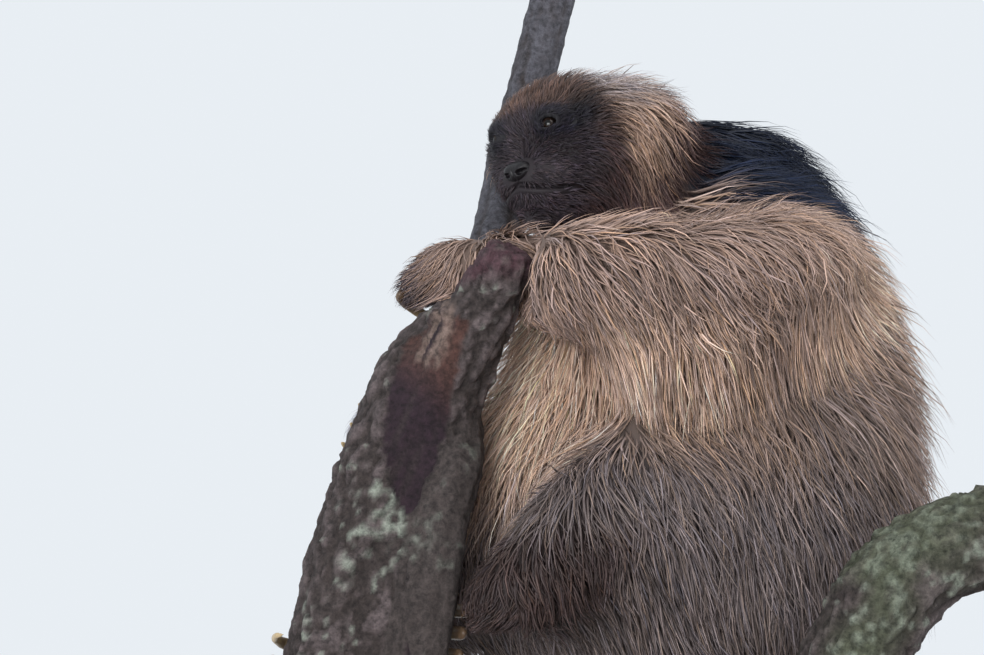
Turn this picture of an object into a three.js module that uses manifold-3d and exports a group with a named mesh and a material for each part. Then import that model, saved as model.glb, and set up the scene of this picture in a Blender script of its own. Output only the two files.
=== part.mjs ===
// A maned three-toed sloth, life size, hugging a forked stem and sitting in its fork, on a plain stand.
// Millimetres, +Z up. The origin is the middle of the underside of the stand's board.
// The animal and its perch are laid out in the animal's own frame: +X ahead, +Y to its left, +Z up.
// Its solids are the outer shape of the coat, out to the tips of the hair.
import * as THREE from "three";
import { mergeVertices } from "three/addons/utils/BufferGeometryUtils.js";
import Module from "manifold-3d";

const wasm = await Module();
wasm.setup();

// ---- Driving dimensions ----
const GAP = 0.4; // clearance between solids that meet
const SLACK = 0.03; // how far a surface may move where small faces are merged after cutting
const FACING = 215; // degrees: the way the body faces, counted from +X of the stand
const BODY_AT = [36, 28]; // where the body's axis stands over the board

const BOARD = { long: 440, deep: 352, thick: 18, corner: 28, bevel: 3 };
const ROD = { radius: 7, sides: 12 };

// The middle of the skull, and the degrees that the head turns to its left and nods down.
const HEAD = { at: [85, 1, 525.5], turn: 12, nod: 14 };
const NOSE = { at: [53, 0, -12], half: [5.5, 8, 5.4] }; // in the head's frame
const EYE = { at: [43, 17, 10], radius: 6 };
const CLAW = { spacing: 11.5, thick: 4.4, tip: 1.3, sides: 6, rings: 7 };

const COLOUR = {
  coat: 0x9c806a,
  face: 0x3a2a26,
  mane: 0x14151c,
  claw: 0x8a7350,
  nose: 0x1b1718,
  eye: 0x120c0a,
  bark: 0x574a42,
  board: 0x8d6a47,
  rod: 0x8f9397,
};

// ---- Sizes and places, in the animal's frame ----
// path: the points that a piece's middle line runs through. half: its half sizes there, [across, through].
const STEM = {
  path: [
    [228, -68, 98], [217, -61, 173], [207, -55, 241], [193, -45, 312], [175, -32, 360],
    [165, -24, 392], [150, -12, 434],
  ],
  half: [[29, 29], [27, 27], [25, 25], [26, 26], [31, 31], [32, 32], [28, 28]],
  up: [0, 1, 0],
  flat: [true, false],
  rings: 13,
};
const STUB = {
  path: [[171, -26, 346], [168, -9, 380], [165, 12, 408], [163, 33, 429], [161, 45, 443]],
  half: [[24, 24], [24, 23], [21, 20], [17, 16], [16, 14]],
  up: [0, 1, 0],
  flat: [false, true],
  rings: 6,
};
const LEADER = {
  path: [
    [150, -28, 408], [127, -36, 442], [113, -43, 472], [100, -53, 498], [88, -64, 527],
    [79, -66, 560], [74, -60, 586], [69, -46, 636], [68, -43, 648],
  ],
  half: [
    [24, 22], [19, 19], [16, 16], [15, 15], [14.5, 14.5], [14.5, 14.5], [14, 14], [13.5, 13.5],
    [13.5, 13.5],
  ],
  up: [0, 1, 0],
  flat: [false, true],
  rings: 13,
};
const PRONG = {
  path: [
    [150, -14, 372], [161, -7, 340], [170, -9, 309], [174, -12, 272], [177, -18, 240],
    [181, -27, 196], [180, -37, 140],
  ],
  half: [[19, 19], [16, 17], [15, 15], [15, 15], [15, 15], [16, 16], [18, 18]],
  up: [0, 1, 0],
  flat: [false, true],
  rings: 8,
};
const LIMB = {
  path: [
    [216, -60, 150], [150, -28, 136], [84, 0, 142], [38, 34, 160], [22, 84, 186], [18, 122, 222],
    [14, 147, 256], [-2, 162, 280], [-28, 178, 292], [-52, 191, 300],
  ],
  half: [
    [28, 26], [28, 26], [28, 26], [28, 26], [28, 27], [28, 27], [27, 27], [27, 26], [26, 25],
    [25, 24],
  ],
  up: [0.2, 0, 1],
  flat: [false, true],
  rings: 16,
};

const TORSO = {
  path: [
    [4, 0, 196], [2, 0, 250], [0, 0, 320], [-6, 0, 390], [-20, 0, 442], [-43, 0, 482],
    [-61, 0, 512], [-70, 0, 530],
  ],
  half: [[104, 112], [120, 129], [124, 140], [122, 136], [114, 126], [95, 101], [66, 62], [46, 42]],
  up: [1, 0, 0],
  blunt: 5,
  rings: 14,
  sides: 24,
};
const NECK = {
  path: [[-48, 0, 492], [2, 2, 510], [50, 4, 522]],
  half: [[58, 52], [56, 44], [50, 42]],
  up: [0, 0, 1],
  blunt: 5,
  rings: 8,
  sides: 14,
};
const MANE = {
  path: [
    [58, 4, 566], [28, 3, 566], [-12, 1, 556], [-54, 0, 544], [-92, 0, 519], [-117, 0, 482],
    [-126, 0, 448],
  ],
  half: [[22, 7], [34, 11], [42, 13], [46, 15], [44, 14], [36, 11], [20, 7]],
  rings: 9,
  sides: 12,
};
const TAIL = {
  path: [[-104, 0, 236], [-130, 0, 214], [-144, 0, 194]],
  half: [[24, 20], [20, 16], [12, 10]],
  rings: 5,
  sides: 10,
};

// Each limb's middle line from shoulder or hip to the knuckles, and the stations where it bends at the
// elbow or knee and at the wrist or ankle. It is sharp where its neighbouring sections cross.
const LIMBS = {
  left_arm: {
    path: [
      [-36, 70, 462], [28, 106, 444], [88, 121, 425], [130, 109, 418], [143, 67, 428],
      [143, 24, 440], [149, -9, 449], [163, -29, 446], [184, -46, 430],
    ],
    half: [
      [60, 54], [50, 44], [40, 38], [36, 36], [33, 34], [28, 29], [23, 25], [20, 22], [14, 16],
    ],
    joints: [3, 6],
    names: ["upper_arm_left", "forearm_left", "hand_left"],
  },
  right_arm: {
    path: [
      [-6, -80, 464], [12, -122, 416], [42, -158, 362], [84, -152, 362], [116, -130, 370],
      [138, -112, 376], [156, -94, 370], [171, -76, 350],
    ],
    half: [[54, 50], [44, 42], [37, 37], [33, 34], [29, 30], [24, 25], [21, 22], [16, 17]],
    joints: [2, 5],
    sharp: true,
    names: ["upper_arm_right", "forearm_right", "hand_right"],
  },
  left_leg: {
    path: [
      [14, 40, 256], [58, 60, 292], [98, 74, 318], [126, 54, 298], [148, 28, 272], [157, 12, 262],
      [160, 0, 254],
    ],
    half: [[60, 58], [52, 52], [44, 44], [36, 37], [25, 26], [19, 18], [13, 13]],
    joints: [2, 4],
    sharp: true,
    names: ["thigh_left", "shank_left", "foot_left"],
  },
  right_leg: {
    path: [
      [14, -44, 256], [66, -72, 290], [114, -92, 312], [148, -98, 278], [172, -98, 244],
      [182, -94, 234], [190, -86, 229],
    ],
    half: [[60, 58], [52, 52], [43, 44], [35, 36], [25, 26], [19, 18], [13, 13]],
    joints: [2, 4],
    sharp: true,
    names: ["thigh_right", "shank_right", "foot_right"],
  },
};

// Where three claws curl round the perch: the perch's middle there and its direction, the way from it
// to the knuckles, the sense of the curl, how far out the claws lie and how many degrees they go round.
const GRIPS = {
  hand_left: {
    at: [152, -14, 431], axis: [-0.35, 0.3, 0.9], from: [0.72, -0.5, 0.4],
    turn: -1, reach: 34, curl: 112,
  },
  hand_right: {
    at: [176, -31, 354], axis: [-0.3, 0.22, 0.92], from: [-0.12, -1, 0],
    turn: 1, reach: 37, curl: 48,
  },
  foot_left: {
    at: [175, -14, 254], axis: [-0.09, 0.14, 0.98], from: [-0.85, 0.5, 0],
    turn: 1, reach: 20, curl: 170,
  },
  foot_right: {
    at: [208, -56, 234], axis: [-0.14, 0.09, 0.98], from: [-0.3, -1, 0],
    turn: 1, reach: 30, curl: 120,
  },
};

const SKULL = {
  path: [[-66, 0, -5], [-38, 0, -1], [-6, 0, 0], [24, 0, -2], [52, 0, -8]],
  half: [[48, 40], [61, 47], [64, 49], [52, 45], [36, 35]],
  rings: 10,
  sides: 16,
};
const MUZZLE = {
  path: [[20, 0, -14], [40, 0, -16], [57, 0, -19]],
  half: [[32, 28], [25, 21], [16, 14]],
  blunt: 5,
  rings: 8,
  sides: 14,
};

// ---- Materials ----
const material = (color, roughness, metalness = 0) =>
  new THREE.MeshStandardMaterial({ color, roughness, metalness });
const coat = material(COLOUR.coat, 0.85);
const faceCoat = material(COLOUR.face, 0.8);
const maneCoat = material(COLOUR.mane, 0.6);
const horn = material(COLOUR.claw, 0.45);
const noseSkin = material(COLOUR.nose, 0.4);
const eyeball = material(COLOUR.eye, 0.08);
const bark = material(COLOUR.bark, 0.95);
const wood = material(COLOUR.board, 0.5);
const steel = material(COLOUR.rod, 0.3, 1);

// ---- Shapes ----
const radians = THREE.MathUtils.degToRad;
const vector = (p) => new THREE.Vector3(...p);
const curveThrough = (path) => new THREE.CatmullRomCurve3(path.map(vector), false, "centripetal");

// A number that runs smoothly through evenly spaced values as t goes from 0 to 1.
function along(values, t) {
  const line = new THREE.SplineCurve(values.map((v, i) => new THREE.Vector2(i, v)));
  return line.getPoint(t).y;
}

// How full a swept body is at t: 1 along its length, falling to 0 at a rounded end.
function fullness(t, blunt, flat) {
  const u = 2 * t - 1;
  if (flat[u < 0 ? 0 : 1]) return 1;
  return Math.sqrt(Math.max(0, 1 - Math.abs(u) ** blunt));
}

// Where the rings of a swept body lie, closer together towards its two ends.
function stations(rings) {
  return Array.from({ length: rings + 1 }, (_, i) => {
    const even = i / rings;
    return (even + 1 - Math.cos(Math.PI * even)) / 3;
  });
}

// A closed body swept along a path. Across is square to the path and to up, and through is the other way.
// A bigger blunt gives fuller ends, flat marks the ends that are plain cuts, and grow makes the body
// bigger all round.
function sweep(piece, grow = 0, join = stitched) {
  const { path, half, up = [0, 0, 1], blunt = 4, rings, sides = 12, flat = [false, false] } = piece;
  const curve = curveThrough(path);
  const upward = vector(up);
  const across = half.map((h) => h[0]);
  const through = half.map((h) => h[1]);
  const loops = [];
  stations(rings).forEach((t, i) => {
    const [first, last] = [i === 0, i === rings];
    const tangent = curve.getTangent(t);
    const side = new THREE.Vector3().crossVectors(upward, tangent).normalize();
    const other = new THREE.Vector3().crossVectors(tangent, side);
    const centre = curve.getPoint(t).addScaledVector(tangent, (last - first) * grow);
    if (first) loops.push([centre]);
    if ((!first && !last) || flat[Number(last)]) {
      const full = fullness(t, blunt, flat);
      const a = along(across, t) * full + grow;
      const b = along(through, t) * full + grow;
      loops.push(ellipse(centre, side.multiplyScalar(a), other.multiplyScalar(b), sides));
    }
    if (last) loops.push([centre]);
  });
  return join(loops);
}

function ellipse(centre, a, b, sides) {
  return Array.from({ length: sides }, (_, k) => {
    const angle = (2 * Math.PI * k) / sides;
    return centre.clone().addScaledVector(a, Math.cos(angle)).addScaledVector(b, Math.sin(angle));
  });
}

// Joins loops of points, the first and last of one point each, into a closed solid.
function stitched(loops) {
  const faces = [];
  let start = 0;
  for (let i = 0; i + 1 < loops.length; i++) {
    const [here, next] = [loops[i].length, loops[i + 1].length];
    const sides = Math.max(here, next);
    for (let k = 0; k < sides; k++) {
      const a = start + (k % here);
      const b = start + ((k + 1) % here);
      const c = start + here + (k % next);
      const d = start + here + ((k + 1) % next);
      if (here > 1) faces.push(a, b, d);
      if (next > 1) faces.push(a, d, c);
    }
    start += here;
  }
  return solidOf(new Float32Array(loops.flat().flatMap((p) => p.toArray())), new Uint32Array(faces));
}

// The same where a sharp bend makes neighbouring loops cross: the union of the hulls of each two neighbours.
function hulled(loops) {
  const hullOf = (points) => wasm.Manifold.hull(points.map((p) => p.toArray()));
  return union(loops.slice(1).map((loop, i) => hullOf([...loops[i], ...loop]))).simplify(SLACK);
}

function solidOf(vertProperties, triVerts) {
  const made = new wasm.Manifold(new wasm.Mesh({ numProp: 3, vertProperties, triVerts }));
  if (made.volume() > 0) return made;
  for (let i = 0; i < triVerts.length; i += 3) {
    [triVerts[i], triVerts[i + 1]] = [triVerts[i + 1], triVerts[i]];
  }
  return new wasm.Manifold(new wasm.Mesh({ numProp: 3, vertProperties, triVerts }));
}

// A three.js geometry, moved by a matrix, as a solid.
function solidFrom(geometry, matrix) {
  const bare = geometry.clone();
  bare.deleteAttribute("normal");
  bare.deleteAttribute("uv");
  bare.applyMatrix4(matrix);
  const merged = mergeVertices(bare, 1e-3);
  return solidOf(merged.attributes.position.array, new Uint32Array(merged.index.array));
}

const union = (solids) => solids.reduce((a, b) => a.add(b));
const cut = (solid, tools) => tools.reduce((a, b) => a.subtract(b), solid);

// The largest body of a solid, without the crumbs that cutting can leave.
function largest(solid) {
  return solid.decompose().reduce((a, b) => (b.volume() > a.volume() ? b : a));
}

function geometryOf(solid) {
  const made = solid.getMesh();
  const geometry = new THREE.BufferGeometry();
  geometry.setAttribute("position", new THREE.BufferAttribute(made.vertProperties, made.numProp));
  geometry.setIndex(new THREE.BufferAttribute(made.triVerts, 1));
  return geometry;
}

// Its largest body, looked for again once the thinnest slivers are closed.
function meshOf(name, solid, finish) {
  const body = largest(solidFrom(geometryOf(largest(solid.simplify(SLACK))), new THREE.Matrix4()));
  const geometry = geometryOf(body);
  geometry.computeVertexNormals();
  const mesh = new THREE.Mesh(geometry, finish);
  mesh.name = name;
  return mesh;
}

// ---- The stand ----
function boardGeometry() {
  const { long, deep, thick, corner, bevel } = BOARD;
  const [x, y] = [long / 2 - bevel - corner, deep / 2 - bevel - corner];
  const outline = new THREE.Shape();
  outline.absarc(x, -y, corner, -Math.PI / 2, 0, false);
  outline.absarc(x, y, corner, 0, Math.PI / 2, false);
  outline.absarc(-x, y, corner, Math.PI / 2, Math.PI, false);
  outline.absarc(-x, -y, corner, Math.PI, (3 * Math.PI) / 2, false);
  const geometry = new THREE.ExtrudeGeometry(outline, {
    depth: thick - 2 * bevel,
    bevelSize: bevel,
    bevelThickness: bevel,
    bevelSegments: 1,
    curveSegments: 5,
  });
  return geometry.translate(0, 0, bevel);
}

// An upright rod from the board to a height inside the perch.
function rodShape([x, y], top) {
  const foot = BOARD.thick + GAP;
  const rod = new THREE.CylinderGeometry(ROD.radius, ROD.radius, top - foot, ROD.sides);
  const upright = new THREE.Matrix4().makeRotationX(Math.PI / 2).setPosition(x, y, (top + foot) / 2);
  return solidFrom(rod, upright);
}

// ---- The head ----
const headMatrix = new THREE.Matrix4().makeRotationFromEuler(
  new THREE.Euler(0, radians(HEAD.nod), radians(HEAD.turn), "ZYX"),
);
headMatrix.setPosition(...HEAD.at);

const headShape = (grow) => sweep(SKULL, grow).add(sweep(MUZZLE, grow)).transform(headMatrix.elements);

function ball(segments, rings, at, half) {
  const place = new THREE.Matrix4().makeTranslation(...at).scale(vector(half));
  return solidFrom(new THREE.SphereGeometry(1, segments, rings), headMatrix.clone().multiply(place));
}
const noseShape = (grow) => ball(12, 8, NOSE.at, NOSE.half.map((h) => h + grow));
function eyeShape(side, grow) {
  const [ahead, out, up] = EYE.at;
  const radius = EYE.radius + grow;
  return ball(12, 8, [ahead, side * out, up], [radius, radius, radius]);
}

// ---- Claws and limbs ----
function clawShape({ at, axis, from, turn, reach, curl }, index, grow) {
  const stem = vector(axis).normalize();
  const out = vector(from).projectOnPlane(stem).normalize();
  const round = new THREE.Vector3().crossVectors(stem, out).multiplyScalar(turn);
  const middle = vector(at).addScaledVector(stem, index * CLAW.spacing);
  const steps = 6;
  const path = [];
  const half = [];
  for (let i = 0; i <= steps; i++) {
    const angle = radians((curl * i) / steps);
    const point = middle.clone().addScaledVector(out, reach * Math.cos(angle));
    path.push(point.addScaledVector(round, reach * Math.sin(angle)).toArray());
    const thick = THREE.MathUtils.lerp(CLAW.thick, CLAW.tip, i / steps);
    half.push([thick * 0.8, thick * 1.15]);
  }
  return sweep({ path, half, up: stem.toArray(), blunt: 8, rings: CLAW.rings, sides: CLAW.sides }, grow);
}

const limbShape = ({ path, half, sharp }, grow) =>
  sweep({ path, half, up: [0, 0.3, 1], rings: 15 }, grow, sharp ? hulled : stitched);

// A limb's three lengths: what lies before its first joint, between the two, and after the second.
function limbLengths(limb, whole) {
  const curve = curveThrough(limb.path);
  const planes = limb.joints.map((joint) => {
    const t = joint / (limb.path.length - 1);
    const normal = curve.getTangent(t);
    return { normal, offset: normal.dot(curve.getPoint(t)) };
  });
  const before = ({ normal, offset }, solid) =>
    solid.trimByPlane(normal.clone().negate().toArray(), GAP / 2 - offset);
  const after = ({ normal, offset }, solid) =>
    solid.trimByPlane(normal.toArray(), offset + GAP / 2);
  const [bend, wrist] = planes;
  const lower = after(bend, whole);
  return [before(bend, whole), before(wrist, lower), after(wrist, lower)];
}

// ---- Building up, from what keeps its whole shape to what gives way to it ----
const specimen = new THREE.Group();
specimen.rotation.z = radians(FACING);
specimen.position.set(...BODY_AT, 0);

const taken = []; // the room of each finished solid, with its gap
function add(name, shape, finish) {
  specimen.add(meshOf(name, cut(shape(0), taken), finish));
  taken.push(shape(GAP));
}

const perchShape = (grow) => union([STEM, STUB, LEADER, PRONG, LIMB].map((piece) => sweep(piece, grow)));
add("perch", perchShape, bark);
const RODS = [["stand_rod_stem", [226, -67], 120], ["stand_rod_limb", [62, 16], 152]];
for (const [name, at, top] of RODS) {
  specimen.add(meshOf(name, cut(rodShape(at, top), taken), steel));
}

add("eye_left", (grow) => eyeShape(1, grow), eyeball);
add("eye_right", (grow) => eyeShape(-1, grow), eyeball);
add("nose", noseShape, noseSkin);
for (const [end, grip] of Object.entries(GRIPS)) {
  for (const index of [-1, 0, 1]) {
    add(`claw_${end}_${index + 2}`, (grow) => clawShape(grip, index, grow), horn);
  }
}
for (const limb of Object.values(LIMBS)) {
  const lengths = limbLengths(limb, cut(limbShape(limb, 0), taken));
  limb.names.forEach((name, i) => specimen.add(meshOf(name, lengths[i], coat)));
  taken.push(limbShape(limb, GAP));
}
add("head", headShape, faceCoat);
add("mane", (grow) => sweep(MANE, grow), maneCoat);
add("neck", (grow) => sweep(NECK, grow), coat);
add("tail", (grow) => sweep(TAIL, grow), coat);
add("torso", (grow) => sweep(TORSO, grow), coat);

const standBase = new THREE.Mesh(boardGeometry(), wood);
standBase.name = "stand_base";

const sloth = new THREE.Group();
sloth.add(standBase, specimen);

export default sloth;
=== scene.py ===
"""Looks of the three-toed sloth model: skin, a coat of solid locks, eyes, nose, claws, perch and stand.

Metres, +Z up. The animal faces FACING round from +X. Its own frame is +X ahead, +Y its left and +Z up.
"""
import math

import bmesh
import bpy
import numpy as np
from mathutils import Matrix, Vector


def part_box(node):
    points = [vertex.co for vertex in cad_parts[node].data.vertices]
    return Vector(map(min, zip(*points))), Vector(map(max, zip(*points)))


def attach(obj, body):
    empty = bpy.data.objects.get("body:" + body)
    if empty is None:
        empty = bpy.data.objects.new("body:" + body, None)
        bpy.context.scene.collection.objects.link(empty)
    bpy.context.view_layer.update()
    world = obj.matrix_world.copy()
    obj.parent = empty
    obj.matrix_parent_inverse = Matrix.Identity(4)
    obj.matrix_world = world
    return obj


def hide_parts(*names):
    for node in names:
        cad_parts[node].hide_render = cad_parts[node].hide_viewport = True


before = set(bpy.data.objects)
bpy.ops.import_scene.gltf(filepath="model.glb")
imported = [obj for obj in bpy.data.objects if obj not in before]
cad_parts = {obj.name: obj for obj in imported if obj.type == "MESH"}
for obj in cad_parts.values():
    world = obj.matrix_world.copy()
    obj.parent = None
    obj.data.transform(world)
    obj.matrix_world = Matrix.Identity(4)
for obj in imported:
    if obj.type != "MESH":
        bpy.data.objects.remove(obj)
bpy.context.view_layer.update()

import openvdb
from mathutils import Vector
from numpy.linalg import norm

# ---- Driving values ----
SEED = 11
STEP = 0.003  # spacing of the distance fields
GROW = 0.0007  # closes the gaps between the solids of flesh
FACING = math.radians(215)
BODY_AT = np.array([0.036, 0.028, 0.0])
HEAD_AT = np.array([0.085, 0.001, 0.5255])
HEAD_TURN = math.radians(12)
HEAD_NOD = math.radians(14)

FLESH = [
    "torso", "neck", "mane", "tail", "head",
    "upper_arm_left", "forearm_left", "hand_left",
    "upper_arm_right", "forearm_right", "hand_right",
    "thigh_left", "shank_left", "foot_left",
    "thigh_right", "shank_right", "foot_right",
]
HEAD = FLESH.index("head")
ARM = ["upper_arm", "forearm"]
LEG = ["thigh", "shank"]
# How far the skin lies inside each solid, which is the depth of the coat there.
COAT_DEPTH = {
    "torso": 0.026, "neck": 0.018, "mane": 0.012, "tail": 0.010, "head": 0.014,
    "upper_arm": 0.016, "forearm": 0.010, "hand": 0.0045,
    "thigh": 0.017, "shank": 0.010, "foot": 0.004,
}
# Length and half width of a lock, and how many locks grow on a square centimetre.
LOCKS = {
    "torso": (0.054, 0.00085, 16.4), "neck": (0.046, 0.00075, 18.5), "mane": (0.066, 0.00065, 46),
    "tail": (0.036, 0.0008, 16), "head": (0.034, 0.00065, 33),
    "upper_arm": (0.048, 0.0008, 19), "forearm": (0.040, 0.00075, 22), "hand": (0.011, 0.0005, 48),
    "thigh": (0.046, 0.00085, 14.8), "shank": (0.036, 0.0008, 16.5), "foot": (0.013, 0.0006, 31),
}
RINGS = 4  # sections of a lock between its root and its tip
WISPS = 0.04  # the share of locks that stand out past the coat's outline
FACE_DEPTH = 0.0035  # the coat's depth on the face
DEPTH_BLEND = 0.006  # how softly the coat's depth changes from one solid to the next
BAND = 0.045  # how far from a surface its distances are true
CLOSE, CLOSE_BAND = 0.016, 0.050  # how far the coat bridges the creases between limbs and body
CLOSE_WIDE, WIDE_BAND = 0.030, 0.064  # and on its flanks and back
THROAT_AT = np.array([0.035, 0.010, -0.048])  # between chin and arm, in the head's frame

rng = np.random.default_rng(SEED)


def kind(node):
    """A node's name without its side."""
    return node.removesuffix("_left").removesuffix("_right")


def unit(v):
    return v / np.maximum(norm(v, axis=-1, keepdims=True), 1e-12)


def ramp(low, high, x):
    """0 before low and 1 after high, smooth between them."""
    t = np.clip((x - low) / (high - low), 0, 1)
    return t * t * (3 - 2 * t)


def bell(x, width):
    return np.exp(-((x / width) ** 2))


def linear(*rgb):
    """An sRGB colour of 0 to 255 as linear light."""
    c = np.array(rgb, float) / 255
    return np.where(c <= 0.04045, c / 12.92, ((c + 0.055) / 1.055) ** 2.4)


# ---- Frames ----
def turned(angle):
    c, s = math.cos(angle), math.sin(angle)
    return np.array([[c, -s, 0], [s, c, 0], [0, 0, 1.0]])


def nodded(angle):
    c, s = math.cos(angle), math.sin(angle)
    return np.array([[c, 0, s], [0, 1.0, 0], [-s, 0, c]])


BODY_AXES = turned(FACING)
HEAD_AXES = BODY_AXES @ turned(HEAD_TURN) @ nodded(HEAD_NOD)
HEAD_CENTRE = BODY_AXES @ HEAD_AT + BODY_AT


def in_animal(p):
    return (p - BODY_AT) @ BODY_AXES


def in_head(p):
    return (p - HEAD_CENTRE) @ HEAD_AXES


# ---- Distance fields ----
def slope_of(distance, p, e):
    """How a distance changes along each axis."""
    return np.stack([(distance(p + d) - distance(p - d)) / (2 * e) for d in np.eye(3) * e], axis=-1)


class Field:
    """Values on a grid, read between its points."""

    def __init__(self, low, values, step=STEP):
        self.low, self.values, self.step = np.asarray(low), values, step

    def at(self, p):
        q = (p - self.low) / self.step
        top = np.array(self.values.shape) - 2
        i = np.clip(np.floor(q).astype(int), 0, top)
        f = np.clip(q - i, 0, 1)
        total = 0
        for corner in np.ndindex(2, 2, 2):
            weight = np.prod(np.where(corner, f, 1 - f), axis=-1)
            j = i + corner
            total = total + weight * self.values[j[..., 0], j[..., 1], j[..., 2]]
        return total

    def slope(self, p):
        return slope_of(self.at, p, self.step)

    def nearest(self, p):
        i = np.rint((p - self.low) / self.step).astype(int)
        i = np.clip(i, 0, np.array(self.values.shape) - 1)
        return self.values[i[..., 0], i[..., 1], i[..., 2]]


def triangles_of(mesh):
    mesh.calc_loop_triangles()
    points = np.empty(len(mesh.vertices) * 3, np.float32)
    mesh.vertices.foreach_get("co", points)
    faces = np.empty(len(mesh.loop_triangles) * 3, np.int32)
    mesh.loop_triangles.foreach_get("vertices", faces)
    return points.reshape(-1, 3), faces.reshape(-1, 3)


def distance_grid(points, step, band, **faces):
    """The distance from a surface, true within a band."""
    return openvdb.FloatGrid.createLevelSetFromPolygons(
        points.astype(np.float32),
        transform=openvdb.createLinearTransform(step),
        halfWidth=band / step,
        **{corners: rows.astype(np.uint32) for corners, rows in faces.items()},
    )


def dense(grid, first, shape):
    values = np.empty(shape, np.float32)
    grid.copyToArray(values, ijk=tuple(int(i) for i in first))
    return values


def node_distance(node, first, shape, band, step=STEP):
    points, faces = triangles_of(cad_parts[node].data)
    return dense(distance_grid(points, step, band, triangles=faces), first, shape)


def grid_over(nodes, margin, step=STEP):
    """The first index and the shape of a grid over CAD nodes."""
    lows = np.array([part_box(node)[0] for node in nodes]).min(0) - margin
    highs = np.array([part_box(node)[1] for node in nodes]).max(0) + margin
    first = np.floor(lows / step).astype(int)
    return first, tuple(int(n) for n in np.ceil(highs / step).astype(int) - first)


def surface_of(values, first, level=0.0, step=STEP):
    """Points and quads of the surface where a field has a level."""
    grid = openvdb.FloatGrid(0.06)
    grid.copyFromArray(values.astype(np.float32), ijk=tuple(int(i) for i in first))
    grid.transform = openvdb.createLinearTransform(step)
    points, quads = grid.convertToQuads(isovalue=level)
    return points.astype(float), quads


def blurred(values, times=1):
    """A field smoothed over its neighbours."""
    for _ in range(times):
        for axis in range(3):
            values = 0.5 * values + 0.25 * (np.roll(values, 1, axis) + np.roll(values, -1, axis))
    return values


def grid_points(first, shape, step=STEP):
    return (first + np.indices(shape).transpose(1, 2, 3, 0)) * step


def smooth_min(a, b, k):
    """The lower of two distances, blended over a width."""
    h = np.clip(0.5 + 0.5 * (b - a) / k, 0, 1)
    return b * (1 - h) + a * h - k * h * (1 - h)


def smooth_max(a, b, k):
    return -smooth_min(-a, -b, k)


def ellipsoid(p, centre, half):
    """Roughly the distance from an ellipsoid."""
    q = (p - np.asarray(centre)) / np.asarray(half)
    return (norm(q, axis=-1) - 1) * min(half)


def node_field(node, step, margin, smoothing):
    """A smoothed field round a CAD node, and its first index."""
    first, shape = grid_over([node], margin, step)
    return blurred(node_distance(node, first, shape, 6 * step, step), smoothing), first


def redistanced(values, first, level, band, step=STEP):
    """True distances from the surface where a field has a level."""
    points, quads = surface_of(values, first, level, step)
    return dense(distance_grid(points, step, band, quads=quads), first, values.shape)


def closed_by(values, first, reach, band, step=STEP):
    """A field swollen by a reach and shrunk again, so that its creases are bridged."""
    return redistanced(values, first, reach, band, step) + reach


def to_flank(x, y):
    """How far round towards a flank a place is, by the animal's frame."""
    return 0.57 * np.abs(y) - 0.82 * x


def flesh_fields(first, shape):
    """Distances from the flesh and from all but the head, the nearest solid, and the coat's depth."""
    near = np.full(shape, 1.0, np.float32)
    trunk = near.copy()
    region = np.zeros(shape, np.int8)
    depth_sum = np.zeros(shape, np.float32)
    weight_sum = np.full(shape, 1e-9, np.float32)
    for i, node in enumerate(FLESH):
        d = node_distance(node, first, shape, BAND)
        region[d < near] = i
        near = np.minimum(near, d)
        if node != "head":
            trunk = np.minimum(trunk, d)
        weight = np.exp(-np.maximum(d, 0) / DEPTH_BLEND)
        depth_sum += weight * COAT_DEPTH[kind(node)]
        weight_sum += weight
    return near, trunk, region, depth_sum / weight_sum


def bridged(whole, trunk, first, a, h, rear, throat):
    """The coat's outline with its creases bridged, but not those round the head."""
    closed = closed_by(whole, first, CLOSE, CLOSE_BAND)
    closed_trunk = closed_by(trunk, first, CLOSE, CLOSE_BAND)
    wide = closed_by(trunk, first, CLOSE_WIDE, WIDE_BAND)
    near_head = ramp(0.125, 0.105, norm(h, axis=-1)) * (1 - throat)
    closed = closed * (1 - near_head) + np.minimum(whole, closed_trunk) * near_head
    closed = closed * (1 - rear) + np.minimum(whole, wide) * rear
    fringe = ramp(-0.068, -0.082, to_flank(a[..., 0], a[..., 1])) * ramp(0.360, 0.380, a[..., 2])
    fringe = fringe * ramp(0.46, 0.44, a[..., 2])
    return closed * (1 - fringe) + whole * fringe


def body_fields():
    """The coat's outline, the region at each place, the skin and the perch."""
    first, shape = grid_over(FLESH, 0.030)
    near, trunk, region, depth = flesh_fields(first, shape)
    whole = closed_by(near, first, GROW, BAND)
    trunk = closed_by(trunk, first, GROW, BAND)
    places = grid_points(first, shape)
    a, h = in_animal(places), in_head(places)
    low = ramp(0.40, 0.37, a[..., 2])
    rear = ramp(-0.078 - 0.030 * low, -0.050 - 0.035 * low, to_flank(a[..., 0], a[..., 1]))
    rear = rear * ramp(0.48, 0.44, a[..., 2])
    throat = ramp(0.050, 0.034, norm(h - THROAT_AT, axis=-1))
    closed = bridged(whole, trunk, first, a, h, rear, throat)
    bare = ramp(-0.010, 0.020, h[..., 0]) * ramp(-0.038, -0.026, h[..., 2])
    coat = whole * bare + closed * (1 - bare)
    face = ramp(0.000, 0.030, h[..., 0] - 0.25 * np.abs(h[..., 1]))
    depth = np.where(region == HEAD, depth * (1 - face) + FACE_DEPTH * face, depth)
    share = np.clip(0.5 + 0.45 * rear + 0.45 * throat, 0, 0.95)
    partly_closed = share * coat + (1 - share) * whole
    skin = blurred(partly_closed + blurred(depth.astype(np.float32), 2), 2)
    skin = np.where(bare > 0, bulging(h, skin), skin)
    coat = np.where((bare > 0.5) & (face > 0.3), np.minimum(coat, skin - 0.0025), coat)
    corner = first * STEP
    return {
        "first": first,
        "coat": Field(corner, coat),
        "region": Field(corner, region),
        "skin": Field(corner, skin),
        "wood": Field(corner, node_distance("perch", first, shape, 0.03)),
    }


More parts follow.
